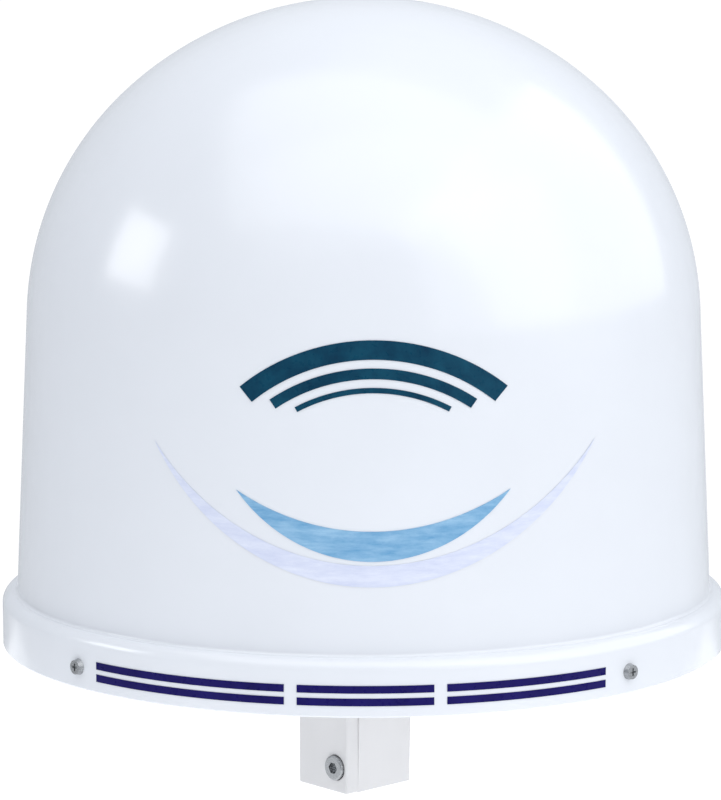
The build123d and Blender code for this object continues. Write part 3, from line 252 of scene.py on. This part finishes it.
# ---------------------------------------------------------------- one material for each slot
materials = {
    "gelcoat_white": gelcoat("gelcoat_white", (0.78, 0.80, 0.84)),
    "teal_film": vinyl("teal_film", (0.0, 0.025, 0.06), (0.004, 0.065, 0.115), 1.0),
    "blue_film": vinyl("blue_film", (0.12, 0.32, 0.55), (0.32, 0.53, 0.72), 5.0),
    "pale_film": vinyl("pale_film", (0.60, 0.64, 0.80), (0.74, 0.77, 0.88), 5.0),
    "navy_film": vinyl("navy_film", (0.004, 0.002, 0.075), (0.010, 0.006, 0.115), 1.0),
    "tray_plastic": moulded("tray_plastic", (0.74, 0.75, 0.77)),
    "mount_plastic": moulded("mount_plastic", (0.735, 0.725, 0.725), 0.5, 1400.0),
    "stainless": machined("stainless", (0.40, 0.41, 0.42), 0.26),
    "aluminium_plate": machined("aluminium_plate", (0.78, 0.79, 0.80), 0.34, (1.0, 12.0, 1.0)),
    "anodised_arm": painted("anodised_arm", (0.10, 0.105, 0.115), 0.38, 900.0, 0.00003, 0.6),
    "bearing_steel": machined("bearing_steel", (0.72, 0.72, 0.74), 0.12, (1.0, 1.0, 20.0)),
    "spring_steel": machined("spring_steel", (0.16, 0.16, 0.17), 0.35),
    "bronze": machined("bronze", (0.75, 0.50, 0.24), 0.36, (1.0, 1.0, 6.0)),
    "gear_nylon": moulded("gear_nylon", (0.80, 0.77, 0.68), 0.38, 700.0),
    "motor_case": painted("motor_case", (0.018, 0.018, 0.02), 0.4, 700.0),
    "belt_rubber": rubber("belt_rubber", (0.012, 0.012, 0.012)),
    "gasket_rubber": rubber("gasket_rubber", (0.02, 0.02, 0.02)),
    "circuit_green": circuit("circuit_green", (0.012, 0.10, 0.035)),
    "chip_black": moulded("chip_black", (0.018, 0.018, 0.02), 0.5, 2500.0),
    "dish_paint": spun_dish("dish_paint", (0.70, 0.71, 0.72)),
    "feed_cover": moulded("feed_cover", (0.84, 0.84, 0.81), 0.4),
    "lnb_casting": painted("lnb_casting", (0.30, 0.31, 0.33), 0.45, 420.0, 0.00012),
    "gland_black": moulded("gland_black", (0.02, 0.02, 0.02), 0.4),
    "weight_steel": painted("weight_steel", (0.05, 0.055, 0.06), 0.5),
}


for row in frame["record"]["subparts"]:
    slots = nodes[row["node"]].data.materials
    slots.clear()
    slots.append(materials[row["material_slot"]])


# ---------------------------------------------------------------- mesh helpers
def in_mm(points):
    """Points given in millimetres, in metres."""
    return [(a * MM, b * MM) for a, b in points]


def shift_by(x, y, z):
    return Matrix.Translation((x, y, z))


def middle(low, high):
    """Centre of a box."""
    return tuple((a + b) / 2 for a, b in zip(low, high))


def finish_piece(name, bm, body, slot_name, replaced=()):
    """Turns a bmesh into a smooth-shaded piece that rides on a body and takes a slot's material."""
    bmesh.ops.recalc_face_normals(bm, faces=bm.faces)
    mesh = bpy.data.meshes.new(name)
    bm.to_mesh(mesh)
    bm.free()
    for polygon in mesh.polygons:
        polygon.use_smooth = True
    mesh.set_sharp_from_angle(angle=SMOOTH_UP_TO)
    piece = bpy.data.objects.new(name, mesh)
    bpy.context.scene.collection.objects.link(piece)
    mesh.materials.append(materials[slot_name])
    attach(piece, body)
    if replaced:
        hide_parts(*replaced)
    return piece


def lathe(bm, profile, segments, where=Matrix.Identity(4)):
    """Turns a profile of radius and height round the local Z axis; a point on the axis is one vertex."""
    turns = [2.0 * math.pi * n / segments for n in range(segments)]
    rings = []
    for radius, height in profile:
        if radius < 1e-7:
            rings.append([bm.verts.new(where @ Vector((0.0, 0.0, height)))] * segments)
        else:
            rings.append(
                [
                    bm.verts.new(where @ Vector((radius * math.cos(t), radius * math.sin(t), height)))
                    for t in turns
                ]
            )
    for low, high in zip(rings, rings[1:]):
        for n in range(segments):
            corners = list(dict.fromkeys((low[n - 1], low[n], high[n], high[n - 1])))
            if len(corners) > 2:
                bm.faces.new(corners)


def prism(bm, outline, depth, where, bevel=0.3 * MM):
    """Solid with a flat outline in local XY, its depth along local Z and its edges softened."""
    low = [bm.verts.new(where @ Vector((x, y, 0.0))) for x, y in outline]
    high = [bm.verts.new(where @ Vector((x, y, depth))) for x, y in outline]
    faces = [bm.faces.new(low[::-1]), bm.faces.new(high)]
    for n in range(len(low)):
        faces.append(bm.faces.new((low[n - 1], low[n], high[n], high[n - 1])))
    edges = list({edge for face in faces for edge in face.edges})
    bmesh.ops.bevel(bm, geom=edges, offset=bevel, segments=2, profile=0.5, affect="EDGES")


def block(width, depth, corner=0.0):
    """Outline of a rectangle about the origin, its corners cut when corner is set."""
    x, y = width / 2, depth / 2
    if not corner:
        return [(-x, -y), (x, -y), (x, y), (-x, y)]
    c = corner
    return [
        (-x + c, -y), (x - c, -y), (x, -y + c), (x, y - c),
        (x - c, y), (-x + c, y), (-x, y - c), (-x, -y + c),
    ]


def arc(centre, radius, first, last, steps):
    """Points on an arc, angles in degrees."""
    turns = [math.radians(first + (last - first) * n / steps) for n in range(steps + 1)]
    return [(centre[0] + radius * math.cos(t), centre[1] + radius * math.sin(t)) for t in turns]


def boresight_frame(along, x=0.0, v=0.0):
    """Local frame square to the boresight, along it from the elevation axis."""
    side = Vector((1.0, 0.0, 0.0))
    up = BORESIGHT.cross(side)
    origin = PIVOT + BORESIGHT * along + side * x + up * v
    return Matrix.Translation(origin) @ Matrix((side, up, BORESIGHT)).transposed().to_4x4()


# ---------------------------------------------------------------- radome, turned finely
WALL = 3.0 * MM
LIP_ROUND = 6.0 * MM
LIP_BLEND = 1.5 * MM
LIP_CHAMFER = 0.8 * MM
CROWN_R = 180.0 * MM
SHOULDER_R = 160.0 * MM
DRAFT = 2.7               # degrees the wall leans inwards
DRAFT_HEIGHT = 24.0 * MM  # height above the lip's underside where the wall's radius is CROWN_R
STEP_HEIGHT = 26.0 * MM   # inner step above the lip's underside
LIP_HEIGHT = 27.5 * MM
RADOME_SEGMENTS = 360
CROWN_STEPS, SHOULDER_STEPS, WALL_STEPS, BLEND_STEPS, ROUND_STEPS = 64, 32, 12, 6, 16


def radome_profile():
    """Outer skin from the apex down to the lip, then the inner skin back up, as radius and height."""
    lip_r = radome_high.x
    lip_z = radome_low.z
    lip_top = lip_z + LIP_HEIGHT
    crown_z = radome_high.z - CROWN_R
    lean = math.radians(DRAFT)
    reach = CROWN_R * math.cos(lean) + (lip_z + DRAFT_HEIGHT) * math.sin(lean)
    step = CROWN_R - SHOULDER_R
    meet = DRAFT + math.degrees(math.acos((reach - SHOULDER_R - crown_z * math.sin(lean)) / step))
    shoulder = (step * math.cos(math.radians(meet)), crown_z + step * math.sin(math.radians(meet)))

    def wall_r(z, inwards=0.0):
        return (reach - inwards - z * math.sin(lean)) / math.cos(lean)

    def skin(inwards):
        crown = arc((0.0, crown_z), CROWN_R - inwards, 90.0, meet, CROWN_STEPS)
        side = arc(shoulder, SHOULDER_R - inwards, meet, DRAFT, SHOULDER_STEPS)
        return [(0.0, crown[0][1])] + crown[1:] + side[1:]

    blend_z = lip_top + LIP_BLEND
    blend_r = wall_r(blend_z) + LIP_BLEND
    outer = skin(0.0)
    wall_top = outer[-1][1]
    for n in range(1, WALL_STEPS):
        z = wall_top - (wall_top - blend_z) * n / WALL_STEPS
        outer.append((wall_r(z), z))
    outer += arc((blend_r, blend_z), LIP_BLEND, 180.0, 270.0, BLEND_STEPS)
    outer += arc((lip_r - LIP_ROUND, lip_top - LIP_ROUND), LIP_ROUND, 90.0, 0.0, ROUND_STEPS)
    foot = [
        (lip_r, lip_z + LIP_CHAMFER),
        (lip_r - LIP_CHAMFER, lip_z),
        (lip_r - WALL, lip_z),
        (lip_r - WALL, lip_z + STEP_HEIGHT),
        (wall_r(lip_z + STEP_HEIGHT, WALL), lip_z + STEP_HEIGHT),
    ]
    return outer + foot + skin(WALL)[::-1]


def build_radome():
    shell = bmesh.new()
    lathe(shell, radome_profile(), RADOME_SEGMENTS)
    finish_piece("radome_shell", shell, "radome", "gelcoat_white", ("radome",))


# ---------------------------------------------------------------- stepper motors
MOTOR = 42.6 * MM         # a little over the motor bodies, so that the bells stand proud
MOTOR_CORNER = 4.5 * MM
MOTOR_EDGE = 0.5 * MM
BELL = 8.0 * MM
BELL_START = 0.05 * MM    # the front bell begins just off the mounting face
BELL_PROUD = 0.3 * MM     # the rear bell ends past the motor's own end
SCREW_SEAT = 0.25 * MM    # screws and boss stand here, past the motor's own end
MOTOR_SCREW = 15.5 * MM   # from the shaft to each corner screw, across and along
AZIMUTH_MOTOR_LENGTH = 34.0 * MM
ELEVATION_MOTOR_LENGTH = 30.0 * MM
BOSS_R, BOSS_TOP_R, BOSS_HEIGHT = 9.0 * MM, 8.0 * MM, 0.9 * MM
# half section of a pan head in mm: floor and rim of its recess, its top, its brim
PAN_HEAD = ((0.0, 0.5), (1.2, 0.5), (1.2, 1.2), (2.2, 1.1), (2.7, 0.0), (0.0, 0.0))


def motor_dress(name, where, length):
    """End bells and corner screws of a square stepper; where is its mounting face, Z through the motor."""
    bells = bmesh.new()
    outline = block(MOTOR, MOTOR, MOTOR_CORNER)
    for start, depth in ((BELL_START, BELL), (length - BELL, BELL + BELL_PROUD)):
        prism(bells, outline, depth, where @ shift_by(0.0, 0.0, start), MOTOR_EDGE)
    end = length + SCREW_SEAT
    top = end + BOSS_HEIGHT
    lathe(bells, [(0.0, top), (BOSS_TOP_R, top), (BOSS_R, end), (0.0, end)], 48, where)
    finish_piece(name + "_bells", bells, "turntable", "aluminium_plate")
    screws = bmesh.new()
    for x in (-MOTOR_SCREW, MOTOR_SCREW):
        for y in (-MOTOR_SCREW, MOTOR_SCREW):
            lathe(screws, in_mm(PAN_HEAD), 24, where @ shift_by(x, y, end))
    finish_piece(name + "_screws", screws, "turntable", "stainless")


def dress_motors():
    """The azimuth motor stands on its face, upright; the elevation motor lies along X."""
    low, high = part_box("azimuth_motor")
    x, y, _ = middle(low, high)
    upright = shift_by(x, y, high.z - AZIMUTH_MOTOR_LENGTH)
    motor_dress("azimuth_motor", upright, AZIMUTH_MOTOR_LENGTH)
    low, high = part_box("elevation_motor")
    _, y, z = middle(low, high)
    lying = shift_by(high.x - ELEVATION_MOTOR_LENGTH, y, z) @ Matrix.Rotation(math.radians(90.0), 4, "Y")
    motor_dress("elevation_motor", lying, ELEVATION_MOTOR_LENGTH)


# ---------------------------------------------------------------- receiver ports
PORT_X, PORT_V = 8.0 * MM, 7.0 * MM  # the four ports' distances from the boresight
# thread in mm: radii, first ridge along the boresight from the elevation axis, chamfer, pitch
THREAD_CORE, THREAD_ROOT, THREAD_CREST = 4.4, 4.65, 5.0
THREAD_START, THREAD_CHAMFER, THREAD_PITCH = -80.5, 0.1, 0.8
THREAD_TURNS = 7


def thread_profile():
    """Half section of one port's thread, from its open end towards the casting."""
    ridges = [(THREAD_CORE, THREAD_START - THREAD_CHAMFER)]
    for n in range(THREAD_TURNS):
        ridges.append((THREAD_ROOT, THREAD_START + THREAD_PITCH * n))
        ridges.append((THREAD_CREST, THREAD_START + THREAD_PITCH * (n + 0.5)))
    ridges.append((THREAD_CORE, THREAD_START + THREAD_PITCH * THREAD_TURNS))
    return in_mm(ridges)


def dress_ports():
    threads = bmesh.new()
    for x in (-PORT_X, PORT_X):
        for v in (-PORT_V, PORT_V):
            lathe(threads, thread_profile(), 32, boresight_frame(0.0, x, v))
    finish_piece("lnb_port_threads", threads, "feed", "stainless")


# ---------------------------------------------------------------- control board
# rows of capacitors in mm from the board's centre: the first one, the step to the next, how many
CAPACITOR_ROWS = (
    ((-20.0, -8.0), (0.0, 3.0), 6),
    ((22.0, -9.0), (0.0, 3.0), 6),
    ((-17.0, -14.0), (4.0, 0.0), 5),
    ((2.0, -5.0), (0.0, 2.6), 5),
)
CAPACITOR = (2.0 * MM, 1.25 * MM, 0.7 * MM)   # width, depth, height
TERMINAL = (0.5 * MM, 1.35 * MM, 0.76 * MM)
TERMINAL_X = 0.95 * MM                        # from the capacitor's middle to each terminal's


def dress_control_board():
    low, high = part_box("control_board")
    board_x, board_y, _ = middle(low, high)
    bodies = bmesh.new()
    ends = bmesh.new()
    for first, step, count in CAPACITOR_ROWS:
        for n in range(count):
            x, y = (first[axis] + step[axis] * n for axis in (0, 1))
            spot = shift_by(board_x + x * MM, board_y + y * MM, high.z)
            prism(bodies, block(*CAPACITOR[:2]), CAPACITOR[2], spot, 0.1 * MM)
            for side in (-1.0, 1.0):
                end_spot = spot @ shift_by(side * TERMINAL_X, 0.0, 0.0)
                prism(ends, block(*TERMINAL[:2]), TERMINAL[2], end_spot, 0.08 * MM)
    finish_piece("board_capacitors", bodies, "turntable", "bronze")
    finish_piece("board_terminals", ends, "turntable", "bearing_steel")


# ---------------------------------------------------------------- satellite positioning antenna
PATCH, PATCH_CORNER = 19.0 * MM, 1.5 * MM
PATCH_SINK, PATCH_THICK = 0.05 * MM, 0.25 * MM
FEED_PIN_X = 2.0 * MM
FEED_PIN = ((0.0, 0.7), (0.8, 0.6), (1.1, 0.1), (0.0, 0.1))  # half section in mm


def dress_gps_antenna():
    low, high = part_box("gps_antenna")
    x, y, _ = middle(low, high)
    top = shift_by(x, y, high.z - PATCH_SINK)
    patch = bmesh.new()
    prism(patch, block(PATCH, PATCH, PATCH_CORNER), PATCH_THICK, top, 0.05 * MM)
    lathe(patch, in_mm(FEED_PIN), 20, top @ shift_by(FEED_PIN_X, 0.0, 0.0))
    finish_piece("gps_patch", patch, "turntable", "bearing_steel")


# ---------------------------------------------------------------- interface board
INTERFACE_BOARD = 1.6 * MM                # thickness
SHIELD = (34.8 * MM, 30.8 * MM, 8.3 * MM)  # width, depth, height
SHIELD_X = -8.0 * MM                      # from the board's centre
SHIELD_RIDGE = (2.2 * MM, 22.0 * MM, 0.6 * MM)
RIDGE_X, RIDGE_STEP, RIDGE_Z = -12.0, 6.0, 8.1 * MM  # the first two in mm
SOCKET_X, SOCKET_WIDTH = 21.0 * MM, 9.4 * MM
SOCKETS = ((-8.0, 16.0, 7.0), (11.0, 10.0, 10.0))    # y, depth and height of their CAD blocks, in mm


def dress_interface_board():
    """A pressed shield and two socket bodies, each just over its CAD block."""
    low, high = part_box("interface_board")
    board_x, board_y, _ = middle(low, high)
    board_z = low.z + INTERFACE_BOARD
    shield = bmesh.new()
    spot = shift_by(board_x + SHIELD_X, board_y, board_z)
    prism(shield, block(*SHIELD[:2], 1.6 * MM), SHIELD[2], spot, 0.7 * MM)
    for n in range(5):
        ridge_spot = spot @ shift_by((RIDGE_X + RIDGE_STEP * n) * MM, 0.0, RIDGE_Z)
        prism(shield, block(*SHIELD_RIDGE[:2], 1.0 * MM), SHIELD_RIDGE[2], ridge_spot, 0.25 * MM)
    finish_piece("interface_shield", shield, "root", "stainless")
    sockets = bmesh.new()
    for y, depth, height in SOCKETS:
        spot = shift_by(board_x + SOCKET_X, board_y + y * MM, board_z)
        outline = block(SOCKET_WIDTH, (depth + 0.4) * MM, 0.6 * MM)
        prism(sockets, outline, (height + 0.2) * MM, spot, 0.3 * MM)
    finish_piece("interface_sockets", sockets, "root", "chip_black")


build_radome()
dress_motors()
dress_ports()
dress_control_board()
dress_gps_antenna()
dress_interface_board()

# ---------------------------------------------------------------- studio
FLOOR_Z = -0.35
FLOOR_HALF = 1.7
FLOOR_GLOW = 0.4
CENTRE = Vector((0.0, 0.0, 0.24))  # what the lights face
WORLD_TINT = (0.90, 0.94, 1.0)
WORLD_LEVEL = 0.685
WORLD_SLOPE = (0.12, 0.0, 0.28)    # how much brighter to the right and above
BACKDROP_LEVEL = 1.05              # as the camera sees it
# name, bearing and elevation in degrees, distance, width and height in metres, radiance
LIGHTS = (
    ("overhead", -12.0, 70.0, 2.6, 3.4, 3.2, 0.86),
    ("wall_right", 50.0, 25.0, 3.0, 3.0, 2.6, 0.62),
)
GLINTS = (  # these only show as reflections
    ("window_left", -82.0, 19.0, 2.0, 0.75, 0.62, 3.0),
    ("sky_right", 85.0, 31.0, 3.0, 5.4, 3.3, 1.0),
    ("sky_front", 8.0, 52.0, 3.0, 4.2, 2.4, 0.35),
)


def softbox(name, bearing, elevation, distance, width, height, radiance):
    """A soft light seen from the object at a bearing clockwise from the camera's side, facing the object."""
    turn, rise = math.radians(bearing), math.radians(elevation)
    out = Vector((math.sin(turn) * math.cos(rise), -math.cos(turn) * math.cos(rise), math.sin(rise)))
    where = CENTRE + out * distance
    light = bpy.data.lights.new(name, "AREA")
    light.shape = "RECTANGLE"
    light.size = width
    light.size_y = height
    light.energy = radiance * math.pi * width * height
    holder = bpy.data.objects.new(name, light)
    bpy.context.scene.collection.objects.link(holder)
    holder.location = where
    holder.rotation_euler = (CENTRE - where).to_track_quat("-Z", "Y").to_euler()
    return holder


def build_floor():
    mesh = bpy.data.meshes.new("studio_floor")
    corners = [(x * FLOOR_HALF, y * FLOOR_HALF, FLOOR_Z) for x, y in ((-1, -1), (1, -1), (1, 1), (-1, 1))]
    mesh.from_pydata(corners, [], [(0, 1, 2, 3)])
    floor = bpy.data.objects.new("studio_floor", mesh)
    bpy.context.scene.collection.objects.link(floor)
    mat, tree, shader = start_material("studio_floor", (0.9, 0.9, 0.9), 0.9)
    shader.inputs["Emission Color"].default_value = (1.0, 1.0, 1.0, 1.0)
    shader.inputs["Emission Strength"].default_value = FLOOR_GLOW
    soft = noise(tree, place(tree), 3.0, 2.0)
    tint = mix_colours(tree, remap(tree, soft, 0.0, 1.0), (0.90, 0.90, 0.90), (0.92, 0.92, 0.92))
    tree.links.new(tint, shader.inputs["Base Color"])
    mesh.materials.append(mat)


def build_world():
    """Pale surroundings: white as seen by the camera, cooler as light, brighter above and to the right."""
    world = bpy.data.worlds.new("studio")
    bpy.context.scene.world = world
    world.use_nodes = True
    tree = world.node_tree
    background = tree.nodes["Background"]
    background.inputs["Color"].default_value = (*WORLD_TINT, 1.0)
    direction = add_node(tree, "TexCoord")
    slope = add_node(tree, "VectorMath")
    slope.operation = "DOT_PRODUCT"
    slope.inputs[1].default_value = WORLD_SLOPE
    tree.links.new(direction.outputs["Generated"], slope.inputs[0])
    level = add_node(tree, "Math")
    level.operation = "ADD"
    level.inputs[1].default_value = WORLD_LEVEL
    tree.links.new(slope.outputs["Value"], level.inputs[0])
    tree.links.new(level.outputs[0], background.inputs["Strength"])
    seen = add_node(tree, "Background", Color=(1.0, 1.0, 1.0, 1.0), Strength=BACKDROP_LEVEL)
    path = add_node(tree, "LightPath")
    mix = add_node(tree, "MixShader")
    tree.links.new(path.outputs["Is Camera Ray"], mix.inputs[0])
    tree.links.new(background.outputs[0], mix.inputs[1])
    tree.links.new(seen.outputs[0], mix.inputs[2])
    tree.links.new(mix.outputs[0], tree.nodes["World Output"].inputs["Surface"])


build_floor()
build_world()
for settings in LIGHTS:
    softbox(*settings)
for settings in GLINTS:
    softbox(*settings).visible_diffuse = False

# ---------------------------------------------------------------- camera
CAMERA_PLACE = (0.0618, -1.6074, 0.4219)
CAMERA_AIM = Vector((-0.0016, 0.0, 0.2015))
CAMERA_LENS = 140.93  # mm on a 36 mm sensor

camera_data = bpy.data.cameras.new("camera")
camera_data.lens = CAMERA_LENS
camera_data.sensor_width = 36.0
camera = bpy.data.objects.new("camera", camera_data)
bpy.context.scene.collection.objects.link(camera)
camera.location = CAMERA_PLACE
camera.rotation_euler = (CAMERA_AIM - camera.location).to_track_quat("-Z", "Y").to_euler()
bpy.context.scene.camera = camera
bpy.context.scene.view_settings.view_transform = "Standard"
